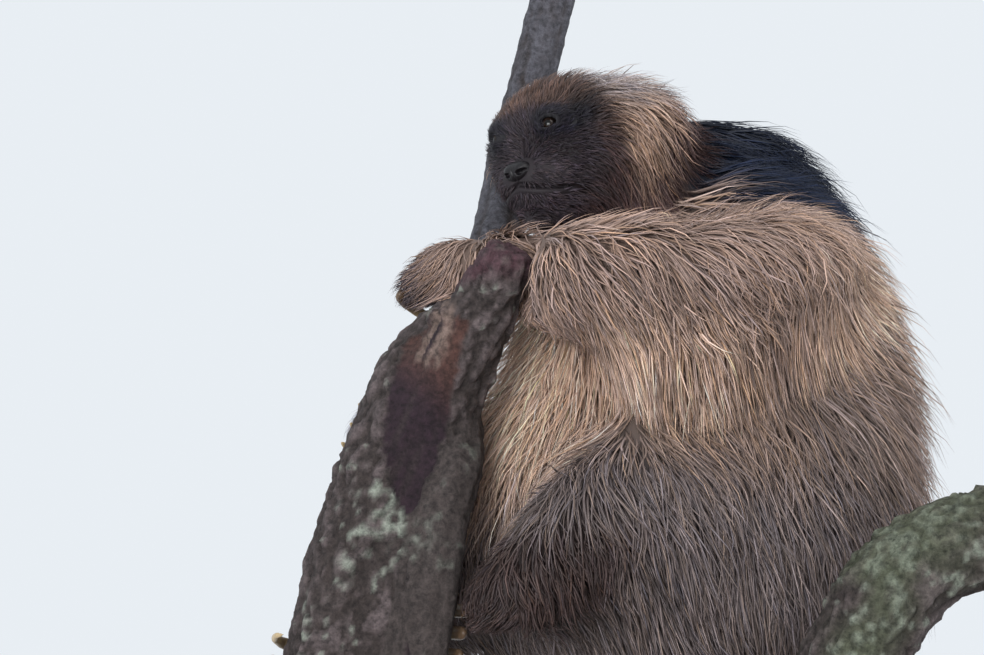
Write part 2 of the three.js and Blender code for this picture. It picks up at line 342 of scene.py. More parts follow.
# ---- Markings, the same for skin and coat ----
COAT_PALE = linear(226, 192, 170)
COAT_MID = linear(158, 133, 119)
COAT_GREY = linear(112, 100, 98)
ARM_PALE = linear(160, 134, 122)
# brown of the arm's lower side, darkened with painted shade
ARM_SHADED_BROWN = linear(134, 111, 102)
# brown fur of the legs and feet, darkened with painted shade
LEG_BROWN_SHADED = linear(66, 52, 50)
FACE_DARK = linear(60, 50, 56)
EYE_PAINTED_SHADE = linear(30, 26, 36)
FRINGE = linear(98, 76, 68)
FRINGE_LOW = linear(70, 52, 52)
# pale bluish tone of a painted highlight on the crown's hair
CROWN_HIGHLIGHT = linear(176, 163, 162)
HOOD_GOLD = linear(182, 150, 130)
HOOD_BROWN = linear(80, 59, 58)
HAND_DARK = linear(84, 74, 78)
# painted shade round the eyes
HAND_GREY = linear(140, 138, 146)
# black hair with a painted bluish reflection of the sky
MANE_BLACK_SKY_SHEEN = linear(14, 25, 48)


def mixed(a, b, t):
    """A colour turned into another by a share at each place."""
    t = np.asarray(t)[..., None]
    return a * (1 - t) + b * t


def kinds_of(region):
    """The kind of part that each region number stands for."""
    return np.array([kind(node) for node in FLESH])[region]


def trunk_colour(x, y, z):
    """Grey low down, pale over the belly, and greyed round the flank and back with painted shade."""
    flankward = to_flank(x, y)
    pale = ramp(0.355, 0.400, z) * ramp(0.02, 0.09, x)
    ragged = 0.005 * np.sin(190 * y + 60 * x) + 0.004 * np.sin(90 * x - 130 * y)
    hem = 0.350 - 0.010 * ramp(-0.066, -0.096, flankward) + ragged
    belly = ramp(-0.020, -0.045, flankward) * (1 - 0.35 * ramp(-0.075, -0.050, flankward))
    pale = np.maximum(pale, belly * ramp(hem - 0.016, hem + 0.018, z))
    pale *= 1 - 0.4 * ramp(0.385, 0.350, z)
    colour = mixed(COAT_GREY, COAT_MID, ramp(0.33, 0.39, z))
    colour = mixed(colour, COAT_PALE, pale)
    colour = mixed(colour, COAT_PALE, 0.35 * ramp(0.43, 0.47, z))
    # painted shade: the flank and back below the shoulders are greyed
    colour = mixed(colour, COAT_GREY, 0.5 * ramp(0.0, 0.05, flankward) * ramp(0.45, 0.40, z))
    # painted shade: low at the front, over the legs, the coat turns dark brown
    return mixed(colour, LEG_BROWN_SHADED, ramp(0.115, 0.135, x) * ramp(0.315, 0.300, z))


def coat_colour(p, region):
    """The coat's colour at places in their regions."""
    x, y, z = in_animal(p).T
    names = kinds_of(region)
    colour = trunk_colour(x, y, z)
    # the arm's lower side is darker with painted shade, and paler above
    sleeve = mixed(ARM_SHADED_BROWN, ARM_PALE, ramp(0.410, 0.445, z))
    sleeve = mixed(sleeve, COAT_PALE, 0.1 + 0.55 * ramp(0.07, -0.01, x))
    merging = 0.75 * ramp(0.425, 0.395, z) * ramp(-0.080, -0.050, to_flank(x, y))
    arm = np.isin(names, ARM)
    colour[arm] = mixed(sleeve, colour, merging)[arm]
    cape = ramp(0.484, 0.494, z + 0.10 * x) * ramp(0.060, 0.035, x)
    # the cape takes the mane's black with its painted sky reflection
    colour = mixed(colour, MANE_BLACK_SKY_SHEEN, cape)
    hand = names == "hand"
    colour[hand] = mixed(sleeve, HAND_DARK, on_knuckles(y))[hand]
    colour[region == FLESH.index("hand_right")] = HAND_GREY
    # feet: the legs' brown with its painted shade
    colour[names == "foot"] = LEG_BROWN_SHADED
    # mane: black with a painted sky reflection
    colour[names == "mane"] = MANE_BLACK_SKY_SHEEN
    colour[region == HEAD] = head_colour(in_head(p[region == HEAD]))
    return colour


def on_knuckles(y):
    """1 over the left hand's knuckles and 0 at its wrist."""
    return ramp(-0.010, -0.026, y)


def head_colour(h):
    """Dark face, red-brown rim, a crown paled with painted highlight, golden sides, and painted shade round
    the eyes.
    """
    x, y, z = h.T
    y = np.abs(y)
    gold = ramp(-0.020, 0.004, x + 0.4 * z) * ramp(-0.012, 0.012, z)
    colour = mixed(HOOD_BROWN, HOOD_GOLD, gold)
    # painted highlight paling the top of the head
    colour = mixed(colour, CROWN_HIGHLIGHT, ramp(0.018, 0.034, z + 0.15 * x))
    rim = x - 0.25 * np.maximum(z, 0) - 0.10 * y
    fringe = mixed(FRINGE_LOW, FRINGE, ramp(-0.004, 0.014, z))
    colour = mixed(colour, fringe, ramp(0.010, 0.020, rim))
    colour = mixed(colour, FACE_DARK, ramp(0.026, 0.036, x - 0.6 * np.maximum(z, 0)))
    # painted shade in a band round the eye
    stripe = np.sqrt((y - 0.020 - 0.35 * (0.045 - x)) ** 2 + ((z - 0.011) * 1.15) ** 2)
    patch = ramp(0.014, 0.008, stripe) * ramp(0.022, 0.034, x)
    return mixed(colour, EYE_PAINTED_SHADE, patch)


# ---- Meshes ----
def linked(name, data):
    obj = bpy.data.objects.new(name, data)
    bpy.context.scene.collection.objects.link(obj)
    return obj


def mesh_from(name, points, faces, colours=None):
    """A smooth mesh object from points and from faces with the same number of corners."""
    corners = faces.shape[1]
    mesh = bpy.data.meshes.new(name)
    mesh.vertices.add(len(points))
    mesh.vertices.foreach_set("co", np.ascontiguousarray(points, np.float32).ravel())
    mesh.loops.add(faces.size)
    mesh.loops.foreach_set("vertex_index", np.ascontiguousarray(faces, np.int32).ravel())
    mesh.polygons.add(len(faces))
    mesh.polygons.foreach_set("loop_start", np.arange(0, faces.size, corners, dtype=np.int32))
    mesh.polygons.foreach_set("use_smooth", np.ones(len(faces), bool))
    mesh.update(calc_edges=True)
    mesh.validate()
    obj = linked(name, mesh)
    if colours is not None:
        colour_layer(obj, colours)
    return obj


def colour_layer(obj, colours):
    """Keeps a colour for each point of a mesh."""
    layer = obj.data.color_attributes.new("Tint", "FLOAT_COLOR", "POINT")
    rgb = np.ones((len(colours), 4), np.float32)
    rgb[:, :3] = colours
    layer.data.foreach_set("color", rgb.ravel())


def place(obj, material, replaced=()):
    """Gives a piece its material and the CAD nodes that it replaces."""
    obj.data.materials.clear()
    obj.data.materials.append(material)
    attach(obj, "root")
    if replaced:
        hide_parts(*replaced)


# ---- Materials ----
def principled(name, **values):
    """A new material, with its node tree and its shader."""
    material = bpy.data.materials.new(name)
    material.use_nodes = True
    shader = material.node_tree.nodes["Principled BSDF"]
    for socket, value in values.items():
        shader.inputs[socket.replace("_", " ")].default_value = value
    return material, material.node_tree, shader


def rgba(colour):
    return (*[float(c) for c in colour], 1.0)


def tinted_material(name, roughness, specular=0.35):
    """A material coloured by the mesh's own tint."""
    material, tree, shader = principled(name, Roughness=roughness, Specular_IOR_Level=specular)
    tint = tree.nodes.new("ShaderNodeVertexColor")
    tint.layer_name = "Tint"
    tree.links.new(tint.outputs["Color"], shader.inputs["Base Color"])
    return material, tree, shader


def bumped(tree, shader, texture, distance, strength=1.0):
    """Raises a material's surface by a texture's height."""
    bump = tree.nodes.new("ShaderNodeBump")
    bump.inputs["Distance"].default_value = distance
    bump.inputs["Strength"].default_value = strength
    tree.links.new(texture, bump.inputs["Height"])
    tree.links.new(bump.outputs["Normal"], shader.inputs["Normal"])


def object_texture(tree, pattern, scale, stretch=(1, 1, 1), **settings):
    """A procedural texture in the object's own coordinates."""
    place_at = tree.nodes.new("ShaderNodeTexCoord")
    mapping = tree.nodes.new("ShaderNodeMapping")
    mapping.inputs["Scale"].default_value = stretch
    texture = tree.nodes.new(f"ShaderNodeTex{pattern}")
    texture.inputs["Scale"].default_value = scale
    for socket, value in settings.items():
        texture.inputs[socket].default_value = value
    tree.links.new(place_at.outputs["Object"], mapping.inputs["Vector"])
    tree.links.new(mapping.outputs["Vector"], texture.inputs["Vector"])
    return texture


def nose_material():
    material, tree, shader = principled(
        "nose_leather", Base_Color=rgba(NOSE_BLACK), Roughness=0.40, Specular_IOR_Level=0.3
    )
    pebbles = object_texture(tree, "Voronoi", 1400)
    bumped(tree, shader, pebbles.outputs["Distance"], 0.0002, 0.6)
    return material


# ---- The face, in the head's frame ----
EYE_AT = np.array([0.043, 0.017, 0.010])
EYE_RADIUS = 0.0055
LID_HALF = (0.0044, 0.0028)  # half the width and height of the opening between the lids
EYE_LOOKS = np.array([0.86, 0.48, 0.12]) / norm([0.86, 0.48, 0.12])
CORNEA_AHEAD = 0.0016  # how far the cornea's middle lies before the eyeball's
PUPIL = linear(4, 3, 3)
IRIS, IRIS_RIM = linear(32, 20, 14), linear(14, 9, 7)
EYE_WHITE = linear(34, 27, 25)
NOSE_BLACK = linear(20, 17, 20)
NOSE_AT = np.array([0.0548, 0, -0.012])
NOSE_HALF = (0.0062, 0.0086, 0.0058)
MUZZLE_BULGES = [
    ((0.040, 0, -0.017), (0.0150, 0.0190, 0.0130)),
    ((0.0465, 0.0070, -0.0165), (0.0080, 0.0080, 0.0065)),
    ((0.0440, 0, -0.0262), (0.0085, 0.0115, 0.0062)),
]
FACE_REACH = 0.078  # how far round the nose the skin is made finer


def mirrored(h):
    """Places brought to the head's left side."""
    return np.stack([h[..., 0], np.abs(h[..., 1]), h[..., 2]], axis=-1)


def mouth_height(y):
    return -0.0188 - 0.36 * np.abs(y) + 4.0 * y**2


def bulging(h, base):
    """The distance from the head with its muzzle, lips, eyelids and brows."""
    q = mirrored(h)
    d = base
    for centre, half in MUZZLE_BULGES:
        d = smooth_min(d, ellipsoid(q, centre, half), 0.006)
    d = smooth_min(d, ellipsoid(q, EYE_AT, (EYE_RADIUS + 0.0011,) * 3), 0.0040)
    brow = EYE_AT + np.array([-0.003, -0.001, 0.0065])
    return smooth_min(d, ellipsoid(q, brow, (0.0045, 0.0070, 0.0030)), 0.006)


def face_distance(h, base):
    """The distance from the face with its mouth, folds and lids."""
    q = mirrored(h)
    d = bulging(h, base)
    x, y, z = np.moveaxis(q, -1, 0)
    front = ramp(0.030, 0.040, x)
    mouth = bell(z - mouth_height(y), 0.0011) * ramp(0.0225, 0.0175, y) * front
    lip = bell(z - mouth_height(y) + 0.0032, 0.0020) * ramp(0.019, 0.010, y) * front
    fold = bell(y - 0.0105 - 0.55 * (-0.010 - z), 0.0010) * front
    fold = fold * ramp(-0.023, -0.018, z) * ramp(-0.004, -0.009, z)
    around, ahead = eye_opening(q)
    lids = (ahead > 0) * (0.0007 * bell(around - 1.9, 0.22) - 0.0004 * bell(around - 1.3, 0.2))
    return d + 0.0024 * mouth - 0.0009 * lip + 0.0007 * fold + lids


def eye_opening(q):
    """How far out in the opening between the lids a place is, 1 at their edge, and how far ahead."""
    across = unit(np.cross([0, 0, 1.0], EYE_LOOKS))
    upward = np.cross(EYE_LOOKS, across)
    offset = q - EYE_AT
    wide = offset @ across / LID_HALF[0]
    high = (offset @ upward - 0.0003) / LID_HALF[1]
    return np.sqrt(wide**2 + high**2), offset @ EYE_LOOKS


def nose_distance(h):
    """The nose pad with its nostrils."""
    q = mirrored(h)
    _, y, z = np.moveaxis(q, -1, 0)
    d = ellipsoid(q, NOSE_AT, NOSE_HALF)
    d = smooth_min(d, ellipsoid(q, NOSE_AT + [0.0018, 0.0042, 0.0006], (0.0038, 0.0034, 0.0038)), 0.002)
    nostril = ellipsoid(q, NOSE_AT + [0.0052, 0.0040, -0.0012], (0.0030, 0.0019, 0.0014))
    slit = ellipsoid(q, NOSE_AT + [0.0040, 0.0062, -0.0002], (0.0030, 0.0018, 0.0008))
    d = smooth_max(d, -smooth_min(nostril, slit, 0.0008), 0.0006)
    groove = bell(y, 0.0007) * ramp(-0.0100, -0.0125, z)
    return d + 0.0006 * groove


def head_to_world(h):
    return h @ HEAD_AXES.T + HEAD_CENTRE


def shape_in_head(name, distance, centre, reach, step):
    """A mesh of a shape given by its distance in the head's frame."""
    count = int(2 * reach / step)
    first = np.floor((np.asarray(centre) - reach) / step).astype(int)
    shape = (count, count, count)
    points, quads = surface_of(distance(grid_points(first, shape, step)), first, 0.0, step)
    return mesh_from(name, head_to_world(points), quads[:, ::-1])


def add_eyes():
    """Eyeballs coloured by the angle from where they look."""
    eyeball, _, _ = tinted_material("eyeball_wet", 0.09, 0.28)
    for side, name in ((1, "left"), (-1, "right")):
        centre = EYE_AT * [1, side, 1]
        look = EYE_LOOKS * [1, side, 1]

        def distance(h, centre=centre, look=look):
            ball = ellipsoid(h, centre, (EYE_RADIUS,) * 3)
            cornea = ellipsoid(h, centre + look * CORNEA_AHEAD, (EYE_RADIUS * 0.80,) * 3)
            return smooth_min(ball, cornea, 0.0008)

        obj = shape_in_head(f"eyeball_{name}", distance, centre, 0.0075, 0.0003)
        h = in_head(triangles_of(obj.data)[0].astype(float))
        angle = np.degrees(np.arccos(np.clip(unit(h - centre) @ look, -1, 1)))
        iris = mixed(IRIS, IRIS_RIM, ramp(18, 34, angle))
        tint = mixed(PUPIL, iris, ramp(15, 17, angle))
        colour_layer(obj, mixed(tint, EYE_WHITE, ramp(50, 58, angle)))
        place(obj, eyeball, [f"eye_{name}"])


def add_nose():
    nose = shape_in_head("nose_pad", nose_distance, NOSE_AT, 0.011, 0.00035)
    place(nose, nose_material(), ["nose"])


# ---- Claws ----
CLAW_STEP = 0.0008
CLAW_ROOT, CLAW_TIP = linear(88, 70, 54), linear(176, 154, 118)


def add_claws():
    horn = horn_material()
    for name in sorted(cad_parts):
        if name.startswith("claw"):
            add_claw(name, horn)


def add_claw(name, horn):
    """A smooth claw, dark at its root and paler to its tip."""
    values, first = node_field(name, CLAW_STEP, 0.003, 3)
    points, quads = surface_of(values, first, 0.0001, CLAW_STEP)
    limb = name.rsplit("_", 1)[0].removeprefix("claw_")
    knuckle = np.mean(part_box(limb), axis=0)
    far = norm(points - knuckle, axis=1)
    along = (far - far.min()) / np.ptp(far)
    colour = mixed(CLAW_ROOT, CLAW_TIP, ramp(0.1, 0.9, along))
    streaked = np.clip(colour * np.exp(0.12 * clumps(points, 0.004, 9, 1)), 0, 1)
    obj = mesh_from(f"{name}_horn", points, quads[:, ::-1], streaked)
    place(obj, horn, [name])


def horn_material():
    material, tree, shader = tinted_material("claw_horn", 0.38)
    ridges = object_texture(tree, "Noise", 260, Detail=4.0)
    bumped(tree, shader, ridges.outputs["Fac"], 0.0006, 0.5)
    return material


# ---- Perch ----
BARK_STEP = 0.0022
PERCH_CLOSE = 0.014  # how far the bark bridges the forks
# The middle line of each branch in the animal's frame and its rough half width, in millimetres.
BRANCHES = {
    "stem": ([(228, -68, 98), (207, -55, 241), (193, -45, 312), (165, -24, 392), (150, -12, 434)], 28),
    "stub": ([(171, -26, 346), (168, -9, 380), (165, 12, 408), (163, 33, 429), (161, 45, 443)], 20),
    "leader": ([(150, -28, 408), (113, -43, 472), (88, -64, 527), (74, -60, 586), (68, -43, 648)], 15),
    "prong": ([(150, -14, 372), (170, -9, 309), (174, -12, 272), (181, -27, 196), (180, -37, 140)], 16),
    "limb": (
        [
            (216, -60, 150), (150, -28, 136), (84, 0, 142), (38, 34, 160),
            (18, 122, 222), (-2, 162, 280), (-52, 191, 300),
        ],
        27,
    ),
}
BARK = linear(98, 87, 87)
BARK_DARK = linear(58, 50, 48)
LICHEN = linear(136, 141, 130)
MOSS = linear(88, 96, 74)
BARE_WOOD = linear(44, 30, 38)
BARE_OCHRE = linear(78, 52, 46)
BROKEN_WOOD = linear(120, 102, 94)
STUB_RED = linear(76, 48, 56)
PRONG_GREY = linear(70, 62, 60)
LEADER_GREY = linear(88, 87, 94)
# darkness of the knot's hollow: painted shade
KNOT_HOLLOW_SHADE = linear(30, 24, 22)
# The trunk's bare patch, the splintered place at its top and the knot below it, in the world.
PATCH_LOW, PATCH_HIGH = 0.310, 0.412
PATCH_X_LOW, PATCH_X_HIGH = -0.125, -0.109
PATCH_HALF = 0.017
BROKEN_AT = np.array([-0.1185, -0.090, 0.407])
KNOT_AT = np.array([-0.1035, -0.086, 0.3265])


def near_line(a, path):
    """The distance to a line of points, and the line's direction there."""
    path = np.array(path, float) / 1000
    best = np.full(len(a), 9.0)
    ahead = np.zeros((len(a), 3))
    for start, end in zip(path[:-1], path[1:]):
        step = end - start
        length = norm(step)
        t = np.clip((a - start) @ step / length**2, 0, 1)
        gap = norm(a - start - t[:, None] * step, axis=1)
        closer = gap < best
        best[closer] = gap[closer]
        ahead[closer] = step / length
    return best, ahead


def branch_places(a):
    """The branch at each place, and its direction there."""
    parts = [near_line(a, path) for path, _ in BRANCHES.values()]
    gaps = np.stack([gap / half for (gap, _), (_, half) in zip(parts, BRANCHES.values())])
    nearest = np.argmin(gaps, axis=0)
    ahead = np.stack([way for _, way in parts])[nearest, np.arange(len(a))]
    return np.array(list(BRANCHES))[nearest], ahead


def along_grain(a, ahead, across, lengthwise, seed):
    """Noise drawn out along the branches."""
    frames = a - ahead * np.sum(a * ahead, axis=1, keepdims=True) * (1 - across / lengthwise)
    return clumps(frames, across, seed, 1)[:, 0]


def add_perch():
    """The perch with its bark raised."""
    values, first = node_field("perch", BARK_STEP, 0.020, 0)
    values = forks_bridged(values, first)
    points, quads = surface_of(values, first, 0.0, BARK_STEP)
    field = Field(first * BARK_STEP, values, BARK_STEP)
    normal = unit(field.slope(points))
    a = in_animal(points)
    branch, ahead = branch_places(a)
    height, colour = bark_of(points, a, normal, branch, ahead)
    obj = mesh_from("perch_bark", points + normal * height[:, None], quads[:, ::-1], colour)
    place(obj, bark_material(), ["perch"])


def forks_bridged(values, first):
    """Rounds the forks between branches, but leaves every end of the perch as it is."""
    band = PERCH_CLOSE + 0.008
    whole = redistanced(values, first, 0.0, band, BARK_STEP)
    closed = closed_by(whole, first, PERCH_CLOSE, band, BARK_STEP)
    return blurred(np.minimum(values, closed), 3)


def bark_of(p, a, normal, branch, ahead):
    """How far the bark stands out, and its colour."""
    fine = clumps(a, 0.0035, 22, 1)[:, 0]
    broad = clumps(a, 0.028, 24, 1)[:, 0]
    grain = along_grain(a, ahead, 0.0030, 0.050, 23)
    height, colour = plated_bark(along_grain(a, ahead, 0.0045, 0.012, 21), fine, broad)
    mossy = (branch == "limb") * ramp(-0.4, 0.9, broad + 0.6 * normal[:, 2])
    colour = mixed(colour, MOSS, 0.6 * mossy)
    smooth = np.isin(branch, ["leader", "prong"])
    height = np.where(smooth, 0.0007 * grain + 0.0005 * fine, height)
    colour = np.where(smooth[:, None], smooth_bark(branch == "leader", grain, fine, broad), colour)
    top = (branch == "stub") * ramp(0.422, 0.432, a[:, 2])
    colour = mixed(colour, STUB_RED, 0.8 * top)
    height, colour = barked_off(p, normal, fine, grain, height, colour)
    return knotted(p, height, colour)


def plated_bark(plates, fine, broad):
    """Cracked plates with lichen: their height and colour."""
    cracks = bell(plates, 0.25)
    height = 0.0009 * fine + 0.0007 * plates - 0.0020 * cracks + 0.0006 * broad
    tone = ramp(-1.2, 1.2, fine + 0.7 * plates - 1.3 * cracks)
    return height, mixed(mixed(BARK_DARK, BARK, tone), LICHEN, ramp(0.5, 1.4, fine + 0.8 * broad))


def smooth_bark(leader, grain, fine, broad):
    """The colour of smooth bark, on the leader and the prong."""
    grey = np.where(leader[:, None], LEADER_GREY, PRONG_GREY)
    colour = mixed(BARK_DARK, grey, ramp(-1.8, 0.8, grain + 0.5 * fine))
    return mixed(colour, LICHEN, 0.5 * ramp(0.7, 1.6, broad + 0.6 * fine))


def barked_off(p, normal, fine, grain, height, colour):
    """The bare patch cut into the bark, with its splintered top."""
    bare, edge = bare_patch(p, normal, fine)
    wood = mixed(BARE_WOOD, BARE_OCHRE, ramp(0.345, 0.385, p[:, 2] + 0.9 * (p[:, 0] + 0.100)))
    wood = mixed(wood, BARK_DARK, 0.6 * ramp(0.0, 1.6, -grain))
    colour = mixed(colour, wood, bare)
    height = height * (1 - bare) + (0.0003 * grain - 0.0022) * bare + 0.0012 * edge
    away = norm((p - BROKEN_AT) * [1, 1, 0.8], axis=1)
    splintered = ramp(0.020, 0.012, away + 0.003 * fine)
    splinters = mixed(BROKEN_WOOD, BARE_WOOD, ramp(0.2, 1.2, grain))
    height = height + splintered * 0.0014 * np.clip(3 * grain, -1, 1)
    return height, mixed(colour, splinters, splintered)


def knotted(p, height, colour):
    """The knot: a hollow in a raised rim, darkened with painted shade."""
    away = norm((p - KNOT_AT) * [1, 1, 0.7], axis=1)
    rim = bell(away - 0.0095, 0.0025)
    # the hollow darkened with painted shade
    colour = mixed(colour, KNOT_HOLLOW_SHADE, ramp(0.0075, 0.0045, away))
    return height - 0.004 * ramp(0.0075, 0.002, away) + 0.0014 * rim, colour


def bare_patch(p, normal, ragged):
    """Where the trunk has lost its bark, and the edge of what is left."""
    rise = np.clip((p[:, 2] - PATCH_LOW) / (PATCH_HIGH - PATCH_LOW), 0, 1)
    middle = PATCH_X_LOW + (PATCH_X_HIGH - PATCH_X_LOW) * rise**2
    half = PATCH_HALF * np.minimum(rise / 0.45, 1) ** 0.6 * ramp(1.0, 0.93, rise)
    inside = half - np.abs(p[:, 0] - middle) + 0.0016 * ragged
    facing = ramp(-0.10, -0.30, normal[:, 1])
    bare = ramp(-0.0005, 0.0012, inside) * facing
    return bare, bell(inside / 0.0016 + 0.8, 1) * facing


def bark_material():
    material, tree, shader = tinted_material("perch_surface", 0.85)
    crumbs = object_texture(tree, "Noise", 260, Detail=8.0, Roughness=0.75)
    bumped(tree, shader, crumbs.outputs["Fac"], 0.004, 0.9)
    speckle(tree, shader, crumbs.outputs["Fac"], (0.35, 0.65), (0.35, 1.55))
    return material


def speckle(tree, shader, texture, span, strengths):
    """Makes a material's tint darker and lighter by a texture."""
    gain = tree.nodes.new("ShaderNodeMapRange")
    for socket, value in zip(("From Min", "From Max", "To Min", "To Max"), (*span, *strengths)):
        gain.inputs[socket].default_value = value
    mix = tree.nodes.new("ShaderNodeVectorMath")
    mix.operation = "SCALE"
    tint = next(node for node in tree.nodes if node.bl_idname == "ShaderNodeVertexColor")
    tree.links.new(texture, gain.inputs["Value"])
    tree.links.new(tint.outputs["Color"], mix.inputs[0])
    tree.links.new(gain.outputs["Result"], mix.inputs["Scale"])
    tree.links.new(mix.outputs["Vector"], shader.inputs["Base Color"])


# ---- Skin ----
SKIN_SHADE = 0.33  # how dark the skin is beside the coat: its own darker tone, deepened with painted shade where it shows between locks


def skin_object(fields):
    """One skin over the whole animal, finer on the face."""
    points, quads = surface_of(fields["skin"].values, fields["first"])
    mesh = mesh_from("plain_skin", points, quads[:, ::-1]).data
    fine = bmesh.new()
    fine.from_mesh(mesh)
    for near in (near_face, near_muzzle, near_features):
        refine_face(fine, near)
    fine.to_mesh(mesh)
    fine.free()
    bpy.data.objects.remove(bpy.data.objects["plain_skin"])
    points, faces = triangles_of(mesh)
    points = sculpted(points.astype(float), fields)
    region = fields["region"].nearest(points).astype(int)
    # the skin darkened with painted shade
    return mesh_from("skin", points, faces, coat_colour(points, region) * SKIN_SHADE)


def near_face(p, reach=FACE_REACH):
    h = in_head(p)
    return (norm(h - [0.060, 0, -0.006], axis=1) < reach) & (h[:, 0] > 0.008)


def near_muzzle(p):
    return near_face(p, FACE_REACH * 0.62)


def near_features(p):
    """Close to an eye or to the line of the mouth."""
    q = mirrored(in_head(p))
    eye = norm(q - EYE_AT - EYE_LOOKS * 0.006, axis=1) < 0.0075
    mouth = np.abs(q[:, 2] - mouth_height(q[:, 1])) < 0.0042
    return eye | (mouth & (q[:, 1] < 0.024) & (q[:, 0] > 0.030))


def refine_face(fine, near):
    """Cuts the faces of one part of the head into four."""
    fine.faces.ensure_lookup_table()
    middles = np.array([face.calc_center_median() for face in fine.faces])
    chosen = np.flatnonzero(near(middles))
    edges = {edge for i in chosen for edge in fine.faces[i].edges}
    bmesh.ops.subdivide_edges(fine, edges=list(edges), cuts=1, use_grid_fill=True, smooth=0.0)
    crowded = [face for face in fine.faces if len(face.verts) > 4]
    bmesh.ops.triangulate(fine, faces=crowded)


def sculpted(points, fields):
    """The skin's points moved onto the face's shape."""
    chosen = np.flatnonzero(near_face(points, FACE_REACH * 1.05))
    p = points[chosen]

    def distance(q):
        return face_distance(in_head(q), fields["skin"].at(q))

    for _ in range(6):
        slope = slope_of(distance, p, 0.0004)
        size = np.maximum(np.sum(slope**2, axis=1, keepdims=True), 0.2)
        p = p - np.clip(distance(p), -0.004, 0.004)[:, None] * slope / size * 0.9
    points[chosen] = head_to_world(eyes_opened(in_head(p)))
    return points


def eyes_opened(h):
    """The skin between the lids pushed in behind the eyeball."""
    side = np.where(h[:, 1:2] < 0, -1, 1) * [0, 1, 0] + [1, 0, 1]
    around, ahead = eye_opening(h * side)
    push = 0.011 * ramp(1.12, 0.86, around) * (ahead > 0)
    return h - EYE_LOOKS * side * push[:, None]


# ---- Coat ----
MOST_IN_PIECE = 6800  # locks
PATCH_SIZE = 0.003  # of a lock on the map
TIP_SHADE = 1.15  # of a lock's tip beside the coat's colour
ROOT_SHADE, LONG_ROOT_LIT = 0.38, 0.55  # of its root: dark underfur on short hair, and on long hair lighter with painted light
BARK_GAP = 0.0015  # between the locks and the perch


def lock_table(region):
    return np.array([LOCKS[kind(node)] for node in FLESH])[region]


def roots_on(obj, fields):
    """Places, normals and regions of locks, drawn at each region's density."""
    points, faces = triangles_of(obj.data)
    a, b, c = (points.astype(float)[faces[:, k]] for k in range(3))
    middle = (a + b + c) / 3
    area = norm(np.cross(b - a, c - a), axis=1) / 2
    region = fields["region"].nearest(middle).astype(int)
    density = lock_table(region)[:, 2] * 1e4
    on_face = ramp(0.010, 0.034, in_head(middle)[:, 0]) * (region == HEAD)
    y = in_animal(middle)[:, 1]
    on_wrist = ramp(0.085, 0.050, y) * (region == FLESH.index("forearm_left"))
    wanted = area * density * (1 + 1.3 * on_face + 0.35 * on_wrist)
    count = np.floor(wanted + rng.random(len(wanted))).astype(int)
    pick = np.repeat(np.arange(len(faces)), count)
    u, v = rng.random((2, len(pick)))
    flip = u + v > 1
    u, v = np.where(flip, 1 - u, u), np.where(flip, 1 - v, v)
    p = a[pick] + (b - a)[pick] * u[:, None] + (c - a)[pick] * v[:, None]
    return p, unit(fields["skin"].slope(p)), region[pick]


def flow_at(p, region):
    """The way the coat lies, not yet laid along the skin."""
    x, y, z = in_animal(p).T
    side = np.sign(y)
    names = kinds_of(region)
    flank = ramp(0.34, 0.45, z) * ramp(0.12, 0.02, x)
    flow = np.stack([-0.18 - 0.9 * flank, np.zeros_like(x), -1 + 0.25 * flank], axis=1)
    arm = np.isin(names, ARM)
    wrist = np.where(y > -0.06, ramp(0.040, 0.010, y), ramp(0.135, 0.155, x))
    sleeve = np.stack([-0.95 + 1.1 * wrist, (0.10 + 0.3 * wrist) * side, np.full_like(x, -0.9)], axis=1)
    flow[arm] = sleeve[arm]
    leg = np.isin(names, LEG)
    low = ramp(0.345, 0.305, z)
    legwise = np.stack([0.4 - 0.85 * low, (0.35 - 0.25 * low) * side, -0.6 - 0.25 * low], axis=1)
    overhung = ramp(0.325, 0.350, z)[:, None]
    flow[leg] = (legwise * (1 - overhung) + flow * overhung)[leg]
    cape = (z + 0.10 * x > 0.488) & (x < 0.05)
    flow[(names == "mane") | cape] = (-1, 0, -0.45)
    flow[names == "hand"] = (0.8, -0.3, -0.6)
    flow[names == "foot"] = (0.7, 0.0, -0.7)
    flow = flow @ BODY_AXES.T
    flow[region == HEAD] = head_flow(in_head(p[region == HEAD])) @ HEAD_AXES.T
    return unit(flow)


def head_flow(h):
    """Away from the nose over the face, then back and down over the hood."""
    from_nose = unit(h - np.array([0.060, 0, -0.008]))
    hood = ramp(0.034, 0.010, h[:, 0])[:, None]
    hanging = np.stack([np.full(len(h), -0.30), 0.50 * np.sign(h[:, 1]), np.full(len(h), -0.9)], axis=1)
    return from_nose * (1 - hood) + hanging * hood


def onto(direction, normal):
    """A direction pressed onto the surface that a normal stands on."""
    return unit(direction - normal * np.sum(direction * normal, axis=1, keepdims=True))


def lock_sizes(roots, normals, region, face, hood):
    """The length and half width of each lock."""
    count = len(roots)
    table = lock_table(region)
    x, y, _ = in_animal(roots).T
    length = table[:, 0] * rng.uniform(0.65, 1.25, count) * (1 - 0.84 * face + 0.5 * hood)
    length *= np.where(region == FLESH.index("hand_right"), 2.0, 1.0)
    length *= np.where(region == FLESH.index("hand_left"), 3.0 - 2.0 * on_knuckles(y), 1.0)
    fore_arm = np.isin(kinds_of(region), ARM) * ramp(-0.050, -0.075, to_flank(x, y))
    length *= 1 - 0.45 * fore_arm * ramp(0.0, -0.5, normals[:, 2])
    return length, table[:, 1] * rng.uniform(0.65, 1.45, count) * (1 - 0.35 * face)


def lock_reach(face):
    """The share of the coat's depth that each lock rises through, over 1 for wisps."""
    count = len(face)
    reach = rng.uniform(0.35, 1.0, count)
    wisp = rng.random(count) < WISPS
    return np.where(wisp & (face < 0.5), 1.0 + rng.uniform(0.05, 0.35, count), reach)


